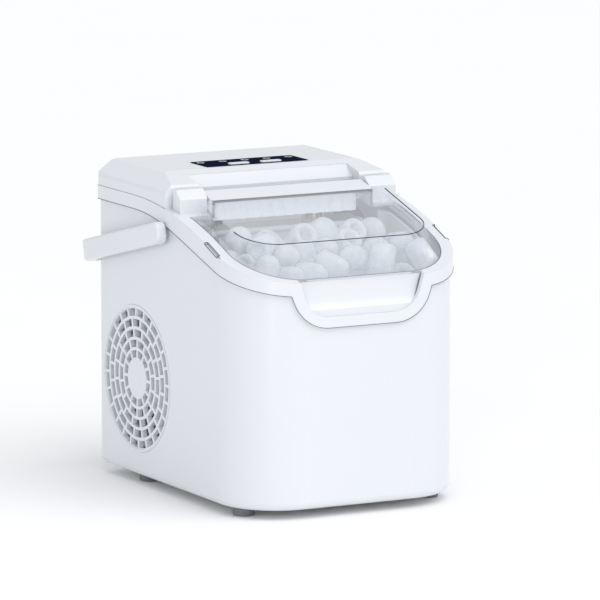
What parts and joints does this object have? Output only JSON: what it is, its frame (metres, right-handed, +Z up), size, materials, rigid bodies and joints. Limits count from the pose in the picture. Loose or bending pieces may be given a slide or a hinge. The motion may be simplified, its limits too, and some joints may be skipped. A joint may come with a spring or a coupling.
{
  "type": "countertop ice maker",
  "caption": "Compact white countertop ice maker with a clear hinged lid over its ice basket, a folding carry handle, a round side grille and a top control strip.",
  "frame": {"origin": "middle of the whole machine's footprint at the surface it stands on, handle folded back", "axes": "+Z up, the lid and front face look along -Y, the fan grille is on the -X side"},
  "size_m": [0.248, 0.3138, 0.2844],
  "materials": {
    "white_plastic": "glossy",
    "rear_plastic": "satin",
    "clear_plastic": "clear",
    "strip_black": "glossy",
    "lamp_clear": "frosted",
    "rubber_black": "matte",
    "steel_zinc": "zinc",
    "grey_plastic": "satin",
    "tank_plastic": "semi gloss",
    "basket_plastic": "semi gloss",
    "foam": "expanded foam",
    "tray_plastic": "satin",
    "bare_aluminium": "mill",
    "nickel_plate": "nickel",
    "copper_pipe": "copper",
    "black_paint": "semi gloss",
    "dark_plastic": "matte",
    "green_board": "solder mask"
  },
  "bodies": {
    "machine": {"wrap_housing": "white_plastic", "trim_ring": "white_plastic", "grip_panel": "white_plastic", "top_cover": "white_plastic", "hinge_block_left": "white_plastic", "hinge_block_right": "white_plastic", "side_grille": "white_plastic", "rear_cover": "rear_plastic", "control_overlay": "strip_black", "light_guides": "lamp_clear", "rubber_feet": "rubber_black", "compressor_grommets": "rubber_black", "pump_hose": "rubber_black", "drain_hose": "rubber_black", "housing_screws": "steel_zinc", "base_pan": "steel_zinc", "handle_pivots": "steel_zinc", "evaporator_frame": "steel_zinc", "inner_deck": "steel_zinc", "handle_bushes": "grey_plastic", "fan_shroud": "grey_plastic", "board_bracket": "grey_plastic", "tank_legs": "grey_plastic", "drain_outlet": "grey_plastic", "water_pump": "grey_plastic", "terminal_cover": "grey_plastic", "water_tank": "tank_plastic", "tank_foam": "foam", "condenser": "bare_aluminium", "evaporator_plate": "nickel_plate", "evaporator_fingers": "nickel_plate", "suction_line": "copper_pipe", "discharge_line": "copper_pipe", "filter_drier": "copper_pipe", "compressor": "black_paint", "button_switches": "dark_plastic", "ice_sensor": "dark_plastic", "tray_motor": "dark_plastic", "fan_motor": "dark_plastic", "hot_gas_valve": "dark_plastic", "power_inlet": "dark_plastic", "display_board": "green_board", "main_board": "green_board"},
    "lid": {"lid_window": "clear_plastic", "lid_bar": "white_plastic", "hinge_pins": "steel_zinc"},
    "handle": {"carry_handle": "white_plastic"},
    "power_key": {"power_button": "white_plastic"},
    "select_key": {"select_button": "white_plastic"},
    "fan": {"fan_blade": "grey_plastic", "fan_shaft": "steel_zinc"},
    "tray": {"water_tray": "tray_plastic", "tray_shafts": "steel_zinc"},
    "shovel": {"ice_shovel": "tray_plastic"},
    "basket": {"ice_basket": "basket_plastic"},
    "plug": {"drain_plug": "rubber_black"}
  },
  "joints": [
    {"name": "lid_hinge", "type": "hinge", "parent": "machine", "child": "lid", "pos_m": [0, -0.01243, 0.258], "axis": [-1, 0, 0], "range_deg": [0, 82]},
    {"name": "handle_pivot", "type": "hinge", "parent": "machine", "child": "handle", "pos_m": [0, 0.00057, 0.234], "axis": [-1, 0, 0], "range_deg": [-104, 0]},
    {"name": "power_press", "type": "slide", "parent": "machine", "child": "power_key", "axis": [0, 0, -1], "range_m": [0, 0.0008], "stiffness_N_per_m": 300},
    {"name": "select_press", "type": "slide", "parent": "machine", "child": "select_key", "axis": [0, 0, -1], "range_m": [0, 0.0008], "stiffness_N_per_m": 300},
    {"name": "fan_spin", "type": "hinge", "parent": "machine", "child": "fan", "pos_m": [-0.095, 0.05887, 0.0957], "axis": [1, 0, 0], "continuous": true},
    {"name": "tray_tilt", "type": "hinge", "parent": "machine", "child": "tray", "pos_m": [0, 0.02857, 0.212], "axis": [1, 0, 0], "range_deg": [0, 75]},
    {"name": "shovel_swing", "type": "hinge", "parent": "machine", "child": "shovel", "pos_m": [0, -0.01343, 0.232], "axis": [-1, 0, 0], "range_deg": [0, 45]},
    {"name": "basket_lift", "type": "slide", "parent": "machine", "child": "basket", "axis": [0, 0, 1], "range_m": [0, 0.006]},
    {"name": "drain_pull", "type": "slide", "parent": "machine", "child": "plug", "axis": [0, 1, 0], "range_m": [0, 0.014]}
  ],
  "couplings": [
    {"joint": "shovel_swing", "follows": "tray_tilt", "ratio": 0.6}
  ]
}
